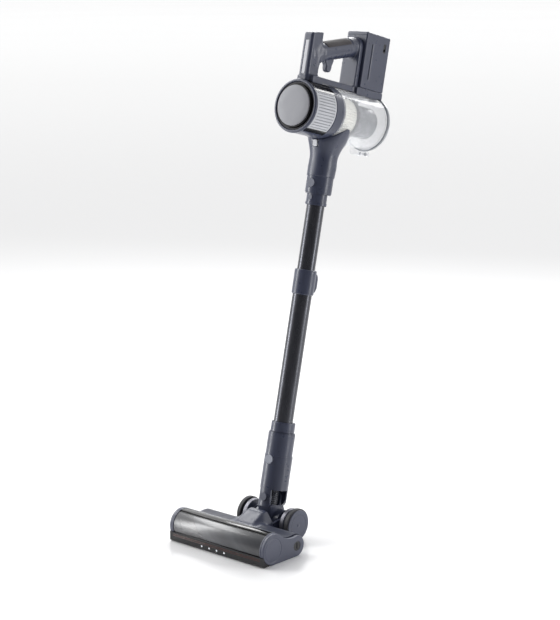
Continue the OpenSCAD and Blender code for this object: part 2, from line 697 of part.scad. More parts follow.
module handle_shell() color([0.25, 0.26, 0.31]) on_wand() difference() {
    union() {
        // front post
        translate([0, (post_front + post_back) / 2, body_z])
            linear_extrude(post_top - body_z) rounded(2 * post_hw, post_back - post_front, 5);
        // rail over casing and cup
        box([-rail_hw, rail_hw], [-88, stay_front + 4], [800, rail_top]);
        // grip
        grip_frame() translate([0, 0, -4]) cylinder(r1 = post_hw, r2 = grip_r, h = grip_blend + 4);
        for (y = [0, grip_belly]) grip_frame() translate([0, y, grip_blend])
            cylinder(r = grip_r, h = grip_len - grip_blend);
        grip_frame() translate([0, 0, grip_len - 22]) cylinder(r = grip_r + collar_pad, h = 20);
        // web between grip and post
        side([-9, 9]) polygon([[-68, 850], [-62, 855.5], [-50, 861], [-44, 880], [-68, 880]]);
        // rear stay
        box([-stay_hw, stay_hw], [stay_front, battery_front - 0.4], [805, stay_top - stay_hw]);
        rod_y(stay_hw, 0, [stay_front, battery_front - 0.4], stay_top - stay_hw);
        // battery dock
        box([-dock_hw, dock_hw], [stay_front + 2, dock_back], [800, dock_floor]);
    }
    // sloping top of the post
    translate([0, post_back, post_top]) rotate([12, 0, 0]) box([-30, 30], [-60, 20], [0, 40]);
    rod_y(ring_r, 0, [-110, ring_back + eps], body_z);
    rod_y(saddle_r, 0, [ring_back, 108], body_z);
    rod_y(dock_saddle_r, 0, [107, 130], body_z);
    box([-9.6, 9.6], [113, 130], [810, 826]);
    // hollow grip and post
    grip_frame() translate([0, 0, grip_blend]) cylinder(r = grip_r - 3.4, h = grip_len - grip_blend - 8);
    grip_frame() translate([0, 0, -14]) cylinder(r = 6, h = grip_blend + 20);
    box([-post_hw + 3, post_hw - 3], [post_front + 3, post_back - 3], [822, 888]);
    box([-4, 4], [post_front - 1, post_front + 4], [828, 893]);
    box([-trigger_hw - 0.5, trigger_hw + 0.5], [-47, -9.5], [850, 878]);
    rod_x(pin_r, [-pin_hw, pin_hw], pivot_y, pivot_z);
    for (p = [[-82, 840], [-82, 875], [43, 850], [43, 895]]) rod_x(2.5, [-25, -8], p[0], p[1]);
}

module grip_pad() color([0.25, 0.24, 0.26]) on_wand() grip_frame() intersection() {
    difference() {
        translate([0, 0, 14]) cylinder(r = grip_r + 0.8, h = grip_len - 38);
        translate([0, 0, 13]) cylinder(r = grip_r, h = grip_len - 36);
    }
    box([-grip_r - 2, grip_r + 2], [-grip_r - 2, -3], [0, grip_len]);
}

module display_window() color([0.78, 0.79, 0.80]) on_wand()
    box([-3.9, 3.9], [post_front - 0.3, post_front + 2.6], [828.2, 892.8]);

module trigger() color([0.30, 0.31, 0.35]) on_wand() difference() {
    side([-trigger_hw, trigger_hw]) union() {
        polygon([
            [-41, 862], [-33, 851], [-23.6, 848], [-16.5, 866], [-17.5, 872], [-36, 881], [-43, 878], [-43, 868]]);
        translate([-28.2, 849.4]) circle(5);
        translate([pivot_y, pivot_z]) circle(4.2);
    }
    rod_x(pin_r + fit, [-trigger_hw - 1, trigger_hw + 1], pivot_y, pivot_z);
}

module trigger_pin() color([0.75, 0.76, 0.78]) on_wand() rod_x(pin_r, [-pin_hw, pin_hw], pivot_y, pivot_z);

module handset_screws() color([0.55, 0.56, 0.58]) on_wand() {
    for (p = [[-82, 840, post_hw], [-82, 875, post_hw], [43, 850, stay_hw], [43, 895, stay_hw]])
        difference() {
            rod_x(2.5, [-p[2] + 0.6, -8], p[0], p[1]);
            box([-p[2] - 1, -p[2] + 1.4], [p[0] - 1.8, p[0] + 1.8], [p[1] - 0.4, p[1] + 0.4]);
        }
}

// ---------------------------------------------------------------- battery

module battery_case() color([0.26, 0.27, 0.32]) on_wand() difference() {
    union() {
        battery_prism(battery_hw, 0, dock_floor + gap, battery_top - 1, 2.5);
        battery_prism(battery_hw - 0.8, 0.8, battery_top - 1.1, battery_top, 2);
    }
    battery_prism(battery_hw - case_wall, case_wall, dock_floor + 3, battery_top - case_wall, 1.5);
    // charging slot on the right wall
    translate([battery_hw + 1, slot_y, slot_z]) rotate([0, -90, 0]) linear_extrude(6)
        rounded(slot_h, slot_w, 1.5);
    // shallow finger groove on each side wall
    for (s = [-1, 1]) mirrored(s) box([battery_hw - 0.6, battery_hw + 1], [68, 72], [845, 918]);
    // release button pocket in the back wall
    box([-8.3, 8.3], [battery_back - 6, battery_back + 1], [903.7, 918.3]);
}

// Upright block with rounded corners, inset from the battery's footprint.
module battery_prism(hw, inset, z0, z1, r)
    translate([0, (battery_front + battery_back) / 2, z0]) linear_extrude(z1 - z0)
        rounded(2 * hw, battery_back - battery_front - 2 * inset, r);

module battery_cells() color([0.10, 0.38, 0.62]) on_wand()
    for (x = [-10.4, 10.4], i = [0:2]) translate([x, 62.5 + i * 22, dock_floor + 3])
        cylinder(r = 9.2, h = 65);

module charge_socket() color([0.04, 0.04, 0.05]) on_wand() difference() {
    translate([battery_hw - 0.8, slot_y, slot_z]) rotate([0, -90, 0]) linear_extrude(11)
        rounded(slot_h - 0.2, slot_w - 0.2, 1.4);
    rod_x(jack_r, [battery_hw - 10.8, battery_hw], slot_y, jack_z);
}

module battery_button() color([0.33, 0.34, 0.38]) on_wand()
    box([-8, 8], [battery_back - 4, battery_back + 0.01], [904, 918]);

// ---------------------------------------------------------------- dust cup

module dust_cup() color([0.88, 0.90, 0.92, 0.35]) on_wand() difference() {
    union() {
        rod_y(cup_r, 0, [cup_front, cup_end], body_z);
        rod_y(rim_r, 0, [cup_end - 6, cup_end], body_z);
        side([-lug_hw, lug_hw]) polygon([
            [94, 716], [94, hinge_z + 1], [97, hinge_z - 4], [hinge_y, hinge_z - 4], [hinge_y, 716]]);
        rod_x(4.2, [-lug_hw, lug_hw], hinge_y, hinge_z);
    }
    rod_y(cup_r - cup_wall, 0, [cup_front - 1, cup_end + 1], body_z);
    translate([0, port_y, 700]) cylinder(r = port_r, h = 40);
    box([-knuckle_hw - gap, knuckle_hw + gap], [hinge_y - 5.5, 130], [690, 712.2]);
    box([-60, 60], [cup_end + 0.01, 130], [hinge_z + 4.2, 830]);
    rod_x(hinge_r, [-lug_hw - 1, lug_hw + 1], hinge_y, hinge_z);
}

// Pleated paper drum around the cup's inlet end.
module pre_filter() color([0.95, 0.94, 0.88]) on_wand() difference() {
    translate([0, 0, body_z]) rotate([-90, 0, 0]) translate([0, 0, cup_front])
        linear_extrude(filter_back - cup_front) polygon([for (i = [0:95])
            (filter_r - (i % 2) * 1.4) * [cos(i * 3.75), sin(i * 3.75)]]);
    rod_y(30, 0, [cup_front - 1, filter_back + 1], body_z);
}

module filter_flange() color([0.55, 0.56, 0.60]) on_wand() turned_y() polygon([
    [20, filter_back], [flange_r - 1.5, filter_back], [flange_r, filter_back + 1.5],
    [flange_r, flange_back - 3], [flange_r - 4, flange_back], [20, flange_back]]);

module cyclone_core() color([0.60, 0.61, 0.65, 0.8]) on_wand() turned_y() polygon([
    [core_out - 2.5, flange_back], [core_out + 1, flange_back], [core_out, flange_back + 4],
    [core_out, core_back - 3], [core_out - 3, core_back], [0, core_back], [0, core_back - 2.5],
    [core_out - 3, core_back - 2.5]]);

module lid_hinge_pin() color([0.75, 0.76, 0.78]) on_wand()
    rod_x(hinge_r, [-lug_hw + 0.3, lug_hw - 0.3], hinge_y, hinge_z);

module cup_lid() color([0.88, 0.90, 0.92, 0.35]) on_wand() difference() {
    union() {
        rod_y(lid_r, 0, [lid_front, lid_back], body_z);
        rod_x(4, [-knuckle_hw, knuckle_hw], hinge_y, hinge_z);
        box([-knuckle_hw, knuckle_hw], [hinge_y - 0.6, lid_back], [hinge_z, hinge_z + 10]);
        for (s = [-1, 1]) mirrored(s) box([8, 10], [lid_back - 1, latch_y + 2], [latch_z - 3, latch_z + 2.5]);
    }
    rod_y(lid_r - 6, 0, [lid_back - 2.2, lid_back + 3], body_z - 6);
    rod_x(hinge_r + fit, [-lug_hw, lug_hw], hinge_y, hinge_z);
    rod_x(1 + fit, [-11, 11], latch_y, latch_z);
}

// Hook that turns on its own trunnions in the lid's lugs.
module lid_latch() color([0.80, 0.82, 0.85]) on_wand() {
    side([-7.7, 7.7]) polygon([
        [lid_back + 0.4, latch_z], [lid_back + 3.6, latch_z], [lid_back + 3.2, 821], [lid_back + 1.6, 823.6],
        [cup_end - 3.4, 823.6], [cup_end - 3.4, 820.4], [cup_end - 1.4, 821.6], [lid_back + 0.4, 821.6]]);
    rod_x(1.8, [-7.7, 7.7], latch_y, latch_z);
    rod_x(1, [-9.8, 9.8], latch_y, latch_z);
}

// ---------------------------------------------------------------- nodes

head_base();
head_deck();
neck_ramp();
roller_window();
front_bumper();
led_lenses();
end_cap_left();
end_cap_right();
lock_dial();
brush_core();
brush_bristles();
brush_motor();
motor_pulley();
drive_belt();
wheel_axles();
head_screws();
wheel_left();
wheel_right();
tyre_left();
tyre_right();
elbow();
neck_hose();
neck_sleeve();
swivel_pins();
neck_button();
wand_foot();
outer_tube();
telescope_collar();
telescope_button();
inner_tube();
wand_head();
wand_collar();
wand_button();
neck_duct();
cup_button();
motor_casing();
front_bezel();
vent_grille();
filter_seal();
filter_cover();
hepa_filter();
motor_body();
fan_rotor();
handle_shell();
grip_pad();
display_window();
trigger();
trigger_pin();
handset_screws();
battery_case();
battery_cells();
charge_socket();
battery_button();
dust_cup();
pre_filter();
filter_flange();
cyclone_core();
lid_hinge_pin();
cup_lid();
lid_latch();
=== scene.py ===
"""Cordless stick vacuum: looks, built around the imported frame."""

import bmesh
import bpy
import json
import math
import numpy as np
from mathutils import Matrix, Vector


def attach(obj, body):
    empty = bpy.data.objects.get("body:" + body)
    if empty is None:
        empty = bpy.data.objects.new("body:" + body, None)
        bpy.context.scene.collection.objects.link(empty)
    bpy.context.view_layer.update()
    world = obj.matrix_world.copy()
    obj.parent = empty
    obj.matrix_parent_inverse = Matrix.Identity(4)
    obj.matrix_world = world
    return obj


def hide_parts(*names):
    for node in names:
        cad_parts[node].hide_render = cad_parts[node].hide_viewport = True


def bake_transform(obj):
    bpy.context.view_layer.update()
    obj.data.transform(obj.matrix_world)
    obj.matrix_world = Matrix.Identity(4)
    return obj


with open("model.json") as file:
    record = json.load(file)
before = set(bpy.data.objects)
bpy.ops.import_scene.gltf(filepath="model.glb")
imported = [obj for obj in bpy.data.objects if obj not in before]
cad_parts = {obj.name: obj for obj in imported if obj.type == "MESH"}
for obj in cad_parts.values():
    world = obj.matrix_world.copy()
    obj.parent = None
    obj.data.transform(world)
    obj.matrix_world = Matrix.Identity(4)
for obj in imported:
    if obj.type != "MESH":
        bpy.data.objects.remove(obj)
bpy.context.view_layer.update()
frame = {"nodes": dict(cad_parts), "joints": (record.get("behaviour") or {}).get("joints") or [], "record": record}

MM = 0.001
JOINTS = {j["name"]: j for j in frame["joints"]}
BODY = {n: b for b, ns in frame["record"]["behaviour"]["bodies"].items() for n in ns}
NODES = frame["nodes"]

# ---------------------------------------------------------------- frames of the two assemblies

W = Vector(JOINTS["telescope"]["axis"]).normalized()  # up the wand
C = Vector(JOINTS["rotor_spin"]["axis"]).normalized()  # from the front disc to the back
SWIVEL_S = 14.6  # mm from the neck's pitch axis up to its swivel axis
WAND_0 = Vector(JOINTS["neck_swivel"]["pos_m"]) - SWIVEL_S * MM * W
WAND = Matrix.Translation(WAND_0) @ Matrix((
    (1, 0, 0, 0), (0, C.y, W.y, 0), (0, C.z, W.z, 0), (0, 0, 0, 1)))
HEAD = Matrix.Translation((0, WAND_0.y, 0))
SIDES = ((-1, "left"), (1, "right"))


def wand(x, c, s):
    """Point given in mm across, back and up the wand."""
    return WAND @ Vector((x * MM, c * MM, s * MM))


# ---------------------------------------------------------------- materials


def srgb(r, g, b):
    """Linear colour of an 8-bit sRGB colour."""
    return tuple(
        (v / 12.92 if v <= 0.04045 else ((v + 0.055) / 1.055) ** 2.4)
        for v in (r / 255, g / 255, b / 255))


class Shader:
    """A node tree under construction."""

    def __init__(self, name):
        self.material = bpy.data.materials.new(name)
        self.material.use_nodes = True
        self.tree = self.material.node_tree
        self.bsdf = next(n for n in self.tree.nodes if n.type == "BSDF_PRINCIPLED")
        self.coords = self.node("ShaderNodeTexCoord").outputs["Object"]

    def node(self, kind, **values):
        n = self.tree.nodes.new(kind)
        for key, value in values.items():
            if hasattr(n, key):
                setattr(n, key, value)
            else:
                self.plug(n.inputs[key.replace("_", " ")], value)
        return n

    def plug(self, socket, value):
        if isinstance(value, bpy.types.NodeSocket):
            self.tree.links.new(value, socket)
        else:
            socket.default_value = value

    def noise(self, scale, detail=3.0, stretch=(1, 1, 1), roughness=0.5):
        mapping = self.node("ShaderNodeMapping", Vector=self.coords, Scale=stretch)
        return self.node("ShaderNodeTexNoise", Vector=mapping.outputs[0], Scale=scale,
                         Detail=detail, Roughness=roughness).outputs["Fac"]

    def span(self, value, low, high, start=0.0, end=1.0):
        n = self.node("ShaderNodeMapRange", Value=value)
        for name, v in (("From Min", start), ("From Max", end), ("To Min", low), ("To Max", high)):
            n.inputs[name].default_value = v
        return n.outputs["Result"]

    def mix(self, fac, a, b):
        n = self.node("ShaderNodeMix", data_type="RGBA")
        self.plug(n.inputs["Factor"], fac)
        for socket, value in zip([i for i in n.inputs if i.type == "RGBA"], (a, b)):
            self.plug(socket, (*value, 1.0) if isinstance(value, tuple) else value)
        return next(o for o in n.outputs if o.type == "RGBA")

    def math(self, operation, a, b=0.0):
        n = self.node("ShaderNodeMath", operation=operation)
        self.plug(n.inputs[0], a)
        self.plug(n.inputs[1], b)
        return n.outputs[0]

    def edges(self, radius, start=0.02, end=0.30):
        """0 on flat faces, 1 along the piece's edges."""
        rounded = self.node("ShaderNodeBevel", samples=4, Radius=radius)
        flat = self.node("ShaderNodeNewGeometry")
        dot = self.node("ShaderNodeVectorMath", operation="DOT_PRODUCT")
        self.tree.links.new(rounded.outputs[0], dot.inputs[0])
        self.tree.links.new(flat.outputs["Normal"], dot.inputs[1])
        return self.span(self.math("SUBTRACT", 1.0, dot.outputs["Value"]), 0.0, 1.0, start, end)


def tinted(rgb, k):
    """Colour k times as bright."""
    return tuple(min(1.0, v * k) for v in rgb)


def moulded(name, rgb, rough, *, metallic=0.0, vary=0.07, rough_vary=0.06, grain=2400, depth=0.012,
            wear=0.0, stretch=(1, 1, 1), **sockets):
    """Moulded or coated surface: colour drift, fine grain, polish that varies, and rubbed edges."""
    s = Shader(name)
    drift = s.noise(26, 4)
    colour = s.mix(s.span(drift, 0, 1, 0.3, 0.7), tinted(rgb, 1 - vary), tinted(rgb, 1 + vary))
    if wear:
        rub = s.math("MULTIPLY", s.edges(0.0009), s.span(s.noise(160, 5), 0, wear, 0.35, 0.75))
        colour = s.mix(rub, colour, tinted(rgb, 2.1))
    s.plug(s.bsdf.inputs["Base Color"], colour)
    polish = s.noise(90, 3, stretch)
    s.plug(s.bsdf.inputs["Roughness"],
           s.span(polish, max(0.02, rough - rough_vary), rough + rough_vary, 0.3, 0.7))
    bump = s.node("ShaderNodeBump", Strength=0.35, Distance=depth * MM,
                  Height=s.noise(grain, 2, stretch))
    s.plug(s.bsdf.inputs["Normal"], bump.outputs[0])
    s.bsdf.inputs["Metallic"].default_value = metallic
    for key, value in sockets.items():
        s.bsdf.inputs[key.replace("_", " ")].default_value = value
    return s.material


SLATE = srgb(57, 62, 81)
MATS = {
    "slate": moulded("slate_plastic", SLATE, 0.32, wear=0.5, depth=0.012, Specular_IOR_Level=0.6),
    # darker copy of the slate for the head's top deck: painted shade on its top face
    "deck_painted_shade": moulded("deck_painted_shade_plastic", srgb(50, 54, 68), 0.4, wear=0.5, depth=0.015,
                          Specular_IOR_Level=0.25),
    "slate_light": moulded("slate_light_plastic", srgb(74, 78, 95), 0.36, wear=0.5, depth=0.015,
                           Specular_IOR_Level=0.5),
    "black": moulded("black_plastic", srgb(26, 26, 30), 0.38, wear=0.5),
    "gloss": moulded("gloss_black_plastic", srgb(13, 13, 16), 0.16, rough_vary=0.04, depth=0.004),
    "tube": moulded("anodised_tube", srgb(78, 79, 84), 0.28, metallic=0.85, depth=0.01,
                    stretch=(1, 1, 0.03), grain=1500),
    "silver": moulded("silver_paint", srgb(146, 147, 152), 0.5, vary=0.02, Specular_IOR_Level=0.4),
    "button": moulded("silver_button", srgb(196, 197, 202), 0.32, vary=0.02),
    "vent": moulded("vent_grey", srgb(190, 192, 197), 0.42, vary=0.05),
    "vent_shade": moulded("vent_shade", srgb(158, 160, 166), 0.5, vary=0.05),
    "grey": moulded("grey_plastic", srgb(104, 105, 111), 0.34, vary=0.05),
    "core": moulded("core_plastic", srgb(126, 128, 133), 0.26, vary=0.05),
    "paper": moulded("filter_paper", srgb(250, 249, 240), 0.9, vary=0.04, grain=900, depth=0.15),
    "pad": moulded("soft_pad", srgb(62, 58, 60), 0.72, grain=1500, depth=0.06, vary=0.1),
    "rubber": moulded("tyre_rubber", srgb(56, 56, 60), 0.66, grain=1200, depth=0.06, vary=0.12),
    "steel": moulded("turned_steel", srgb(190, 190, 194), 0.26, metallic=1.0, vary=0.03),
    "copper": moulded("copper_winding", srgb(176, 104, 62), 0.35, metallic=0.9, vary=0.1),
    "chrome": moulded("satin_chrome", srgb(118, 118, 126), 0.42, metallic=0.6, vary=0.03),
    "amber": moulded("bumper_line", srgb(92, 44, 34), 0.25, vary=0.1),
    "button_grey": moulded("button_grey", srgb(134, 138, 150), 0.32, vary=0.03),
    "hose": moulded("hose_rubber", srgb(74, 76, 84), 0.3, grain=1200, depth=0.02, Specular_IOR_Level=0.9),
    # grey for the lid's latch and the hinge block's ends; on the cup's edge and the hood's bead this grey is
    # painted reflection, and the lighter copy below is painted reflection on the lid's edge
    "rim": moulded("clear_grey_and_painted_reflection", srgb(138, 142, 148), 0.12, rough_vary=0.04, vary=0.03, depth=0.002),
    "lid_edge_reflection": moulded("clear_lid_edge_painted_reflection", srgb(178, 181, 185), 0.15, rough_vary=0.04, vary=0.03,
                         depth=0.002),
    "groove": moulded("groove_shade", srgb(38, 42, 56), 0.6, Specular_IOR_Level=0.2),
    "matt_black": moulded("matt_black_plastic", srgb(16, 16, 18), 0.5, Specular_IOR_Level=0.25),
    "bristle": moulded("bristle_nylon", srgb(205, 206, 210), 0.6, vary=0.15, grain=800, depth=0.3),
    "cell": moulded("cell_wrap", srgb(38, 92, 148), 0.3, vary=0.05),
    "led": moulded("led_lens", srgb(235, 238, 245), 0.15, vary=0.02, Emission_Strength=0.35,
                   Emission_Color=(1, 1, 1, 1)),
}


def smoked_window():
    """Smoky, glossy cover with the brush's strips showing faintly through it."""
    s = Shader("smoked_plastic")
    slant = s.node("ShaderNodeVectorMath", operation="DOT_PRODUCT")
    s.plug(slant.inputs[0], s.coords)
    slant.inputs[1].default_value = (17, 0, 21)
    streaks = s.node("ShaderNodeTexNoise", noise_dimensions="1D", W=slant.outputs["Value"], Scale=1.0,
                     Detail=2.0).outputs["Fac"]
    s.plug(s.bsdf.inputs["Base Color"],
           s.mix(s.span(streaks, 0, 1, 0.3, 0.7), srgb(46, 47, 50), srgb(72, 74, 79)))
    s.plug(s.bsdf.inputs["Roughness"], s.span(s.noise(12, 2), 0.24, 0.27, 0.3, 0.7))
    s.bsdf.inputs["Specular IOR Level"].default_value = 0.9
    s.plug(s.bsdf.inputs["Alpha"], s.span(s.noise(30, 2), 0.97, 0.99, 0.3, 0.7))
    return s.material


def clear_plastic():
    """Clear wall: nearly invisible face on, whitish where it is seen edge on as painted reflection."""
    s = Shader("clear_plastic")
    s.plug(s.bsdf.inputs["Base Color"],
           s.mix(s.span(s.noise(26, 3), 0, 1, 0.3, 0.7), srgb(232, 235, 239), srgb(242, 244, 247)))
    s.plug(s.bsdf.inputs["Roughness"], s.span(s.noise(60, 2), 0.05, 0.09, 0.3, 0.7))
    # whiter and more opaque where seen edge on: painted reflection
    facing = s.node("ShaderNodeLayerWeight", Blend=0.35).outputs["Facing"]
    s.plug(s.bsdf.inputs["Alpha"], s.span(facing, 0.07, 0.5))
    return s.material


MATS["smoke"] = smoked_window()
MATS["clear"] = clear_plastic()

# ---------------------------------------------------------------- mesh helpers


SHARP = math.radians(34)  # edges sharper than this are rounded


def finish_mesh(obj):
    """Smooth shading, with the object's clear edges kept."""
    obj.data.shade_smooth()
    obj.data.set_sharp_from_angle(angle=math.radians(32))
    return obj


def mesh_from(bm, name):
    """New mesh holding what was built in bm."""
    mesh = bpy.data.meshes.new(name)
    bm.to_mesh(mesh)
    bm.free()
    return mesh


def add(name, mesh, mat, body, *replaced):
    """New object with one material, riding on a body if one is given."""
    obj = bpy.data.objects.new(name, mesh)
    bpy.context.scene.collection.objects.link(obj)
    obj.data.materials.clear()
    obj.data.materials.append(MATS[mat])
    if body:
        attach(obj, body)
    if replaced:
        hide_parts(*replaced)
    return obj


def refined(node, mat, width=0.5, body=None):
    """Copy of a CAD node with merged faces and rounded edges, which stands for the node."""
    bm = bmesh.new()
    bm.from_mesh(NODES[node].data)
    bmesh.ops.remove_doubles(bm, verts=bm.verts, dist=1e-6)
    bmesh.ops.dissolve_limit(bm, angle_limit=math.radians(0.4), verts=bm.verts, edges=bm.edges)
    sharp = [e for e in bm.edges if len(e.link_faces) == 2 and e.calc_face_angle(0) > SHARP]
    bmesh.ops.bevel(bm, geom=sharp, offset=width * MM, segments=3, profile=0.5,
                    affect="EDGES", clamp_overlap=True)
    name = node + "_shaped"
    obj = add(name, mesh_from(bm, name), mat, body, node)
    finish_mesh(obj)
    weighted = obj.modifiers.new("normals", "WEIGHTED_NORMAL")
    weighted.keep_sharp = True
    return obj


# ---------------------------------------------------------------- free-form shapes
# A shape is a signed distance function over points in mm, meshed on a fine grid.


def length(*parts):
    """Length of vectors given by their components."""
    return np.sqrt(sum(p * p for p in parts))


def block(p, lo, hi, r=0.0):
    """Distance to a box with rounded edges."""
    lo, hi = np.array(lo, float), np.array(hi, float)
    q = np.abs(p - (lo + hi) / 2) - (hi - lo) / 2 + r
    return np.linalg.norm(np.maximum(q, 0), axis=1) + np.minimum(q.max(axis=1), 0) - r


def rod(p, a, b, r, edge=0.0):
    """Distance to a capped cylinder with rounded ends."""
    a, b = np.array(a, float), np.array(b, float)
    span = np.linalg.norm(b - a)
    axis = (b - a) / span
    t = (p - a) @ axis
    side = np.linalg.norm(p - a - t[:, None] * axis, axis=1) - r + edge
    end = np.abs(t - span / 2) - span / 2 + edge
    return length(np.maximum(side, 0), np.maximum(end, 0)) + np.minimum(np.maximum(side, end), 0) - edge


def plate(u, v, w, outline, half, r=0.0):
    """Distance to a polygon in the (u, v) plane, run to both sides along w."""
    d = np.full(len(u), 1e9)
    inside = np.zeros(len(u), bool)
    for (au, av), (bu, bv) in zip(outline, outline[1:] + outline[:1]):
        eu, ev = bu - au, bv - av
        t = np.clip(((u - au) * eu + (v - av) * ev) / (eu * eu + ev * ev), 0, 1)
        d = np.minimum(d, length(u - au - t * eu, v - av - t * ev))
        crosses = (av > v) != (bv > v)
        with np.errstate(divide="ignore", invalid="ignore"):
            inside ^= crosses & (u < au + (v - av) * eu / (ev if ev else 1e-12))
    flat = np.where(inside, -d, d) + r
    side = np.abs(w) - half + r
    return length(np.maximum(flat, 0), np.maximum(side, 0)) + np.minimum(np.maximum(flat, side), 0) - r


def join(a, b, k):
    """Union with a fillet of about k mm."""
    h = np.clip(0.5 + 0.5 * (b - a) / k, 0, 1)
    return b + (a - b) * h - k * h * (1 - h)


def cut(a, b, k=0.0):
    """a without b, with an edge of about k mm."""
    return -join(-a, b, k) if k else np.maximum(a, -b)


def rise(t, start, end):
    """0 before start, 1 after end, and a smooth step between them."""
    t = np.clip((t - start) / (end - start), 0, 1)
    return t * t * (3 - 2 * t)


def shaped(name, distance, lo, hi, step, place, mat, body, replaced):
    """Surface of a distance function as a mesh of quads (surface nets), set on the surface."""
    lo = np.array(lo, float)
    n = np.ceil((np.array(hi) - lo) / step).astype(int) + 1
    grid = np.stack(np.meshgrid(*[lo[i] + step * np.arange(n[i]) for i in range(3)], indexing="ij"), -1)
    d = distance(grid.reshape(-1, 3)).reshape(n)
    total = np.zeros((*(n - 1), 3))
    count = np.zeros(n - 1)
    crossings = []
    for axis in range(3):
        low = [slice(None)] * 3
        high = [slice(None)] * 3
        low[axis], high[axis] = slice(None, -1), slice(1, None)
        a, b = d[tuple(low)], d[tuple(high)]
        edge = np.argwhere((a < 0) != (b < 0))
        va, vb = a[tuple(edge.T)], b[tuple(edge.T)]
        point = edge.astype(float)
        point[:, axis] += va / (va - vb)
        u, v = (axis + 1) % 3, (axis + 2) % 3
        cells = []
        for du, dv in ((0, 0), (1, 0), (1, 1), (0, 1)):
            cell = edge.copy()
            cell[:, u] -= du
            cell[:, v] -= dv
            cells.append(cell)
            np.add.at(total, tuple(cell.T), point)
            np.add.at(count, tuple(cell.T), 1)
        crossings.append((cells, va < 0))
    used = np.argwhere(count > 0)
    index = np.full(n - 1, -1)
    index[tuple(used.T)] = np.arange(len(used))
    points = lo + step * total[tuple(used.T)] / count[tuple(used.T)][:, None]
    for _ in range(3):
        slope = np.stack([(distance(points + h) - distance(points - h)) / 0.1
                          for h in np.eye(3) * 0.05], -1)
        size = np.maximum(np.linalg.norm(slope, axis=1, keepdims=True), 0.3)
        move = distance(points)[:, None] * slope / size ** 2
        points -= np.clip(move, -0.4 * step, 0.4 * step)
    faces = []
    for cells, outward in crossings:
        quad = np.stack([index[tuple(c.T)] for c in cells], -1)
        quad[~outward] = quad[~outward][:, ::-1]
        faces.append(quad)
    mesh = bpy.data.meshes.new(name)
    turn = np.array(place)
    points = points * MM @ turn[:3, :3].T + turn[:3, 3]
    mesh.from_pydata(points.tolist(), [], np.concatenate(faces).tolist())
    mesh.update()
    add(name, mesh, mat, body, replaced).data.shade_smooth()


# ---------------------------------------------------------------- swept and turned shapes


def arc(center, r, start, end, n):
    """Points on a circle between two angles in degrees."""
    return [(center[0] + r * math.cos(math.radians(start + (end - start) * i / n)),
             center[1] + r * math.sin(math.radians(start + (end - start) * i / n))) for i in range(n + 1)]


def band(center, outer, inner, start, end, n):
    """Outline of a bent strip between two radii."""
    return arc(center, outer, start, end, n) + arc(center, inner, end, start, n)


def both(x):
    """Ends of a strip centred on the head."""
    return -x, x


def swept(name, outline, ends, mat, body, *replaced, place=HEAD, edge=0.0):
    """Outline in the (back, up) plane run along X between two ends, with edges rounded by edge mm."""
    x0, x1 = sorted(ends)
    bm = bmesh.new()
    first, last = ([bm.verts.new(place @ Vector((x * MM, y * MM, z * MM))) for y, z in outline]
                   for x in (x0, x1))
    bm.faces.new(first)
    bm.faces.new(last[::-1])
    for i in range(len(outline)):
        j = (i + 1) % len(outline)
        bm.faces.new((first[j], first[i], last[i], last[j]))
    bmesh.ops.recalc_face_normals(bm, faces=bm.faces)
    if edge:
        sharp = [e for e in bm.edges if e.calc_face_angle(0) > SHARP]
        bmesh.ops.bevel(bm, geom=sharp, offset=edge * MM, segments=2, profile=0.5, affect="EDGES")
    finish_mesh(add(name, mesh_from(bm, name), mat, body, *replaced))


def turned(name, center, profile, mat, body, *replaced, place=HEAD, axis="x"):
    """Closed (radius, along) outline turned about an axis along X, or along the handset's axis."""
    segments = 96 if axis == "x" else 128
    bm = bmesh.new()
    rows = []
    for i in range(segments):
        a = 2 * math.pi * i / segments
        row = []
        for r, t in profile:
            u, v = r * math.cos(a), r * math.sin(a)
            q = (t, center[0] + u, center[1] + v) if axis == "x" else (u, t, center[1] + v)
            row.append(bm.verts.new(place @ Vector([k * MM for k in q])))
        rows.append(row)
    for i in range(segments):
        a, b = rows[i], rows[(i + 1) % segments]
        for k in range(len(profile)):
            m = (k + 1) % len(profile)
            bm.faces.new((a[k], a[m], b[m], b[k]))
    bmesh.ops.recalc_face_normals(bm, faces=bm.faces)
    finish_mesh(add(name, mesh_from(bm, name), mat, body, *replaced))


# ---------------------------------------------------------------- nodes carried over from the frame

PLAIN = {
    "head_base": "slate", "head_deck": "deck_painted_shade", "neck_ramp": "slate", "roller_window": "smoke",
    "front_bumper": "gloss", "led_lenses": "led", "end_cap_left": "slate_light",
    "end_cap_right": "slate_light", "lock_dial": "black", "brush_core": "black",
    "brush_bristles": "bristle", "brush_motor": "steel", "motor_pulley": "grey",
    "drive_belt": "rubber", "wheel_axles": "steel", "head_screws": "steel",
    "wheel_left": "slate_light", "wheel_right": "slate_light", "tyre_left": "rubber",
    "tyre_right": "rubber", "elbow": "slate", "neck_hose": "hose", "neck_sleeve": "slate",
    "swivel_pins": "slate_light", "neck_button": "button_grey", "wand_foot": "slate",
    "outer_tube": "tube", "telescope_collar": "slate", "telescope_button": "slate_light",
    "inner_tube": "tube", "wand_head": "slate", "wand_collar": "slate",
    "wand_button": "slate_light", "neck_duct": "slate", "cup_button": "button",
    "motor_casing": "slate", "front_bezel": "slate", "vent_grille": "vent",
    "filter_seal": "rubber", "filter_cover": "silver", "hepa_filter": "paper",
    "motor_body": "copper", "fan_rotor": "steel", "handle_shell": "slate", "grip_pad": "pad",
    "display_window": "button", "trigger": "slate_light", "trigger_pin": "steel",
    "handset_screws": "steel", "battery_case": "slate", "battery_cells": "cell",
    "charge_socket": "black", "battery_button": "slate_light", "dust_cup": "clear",
    "pre_filter": "paper", "filter_flange": "grey", "cyclone_core": "core",
    "lid_hinge_pin": "steel", "cup_lid": "clear", "lid_latch": "rim",
}
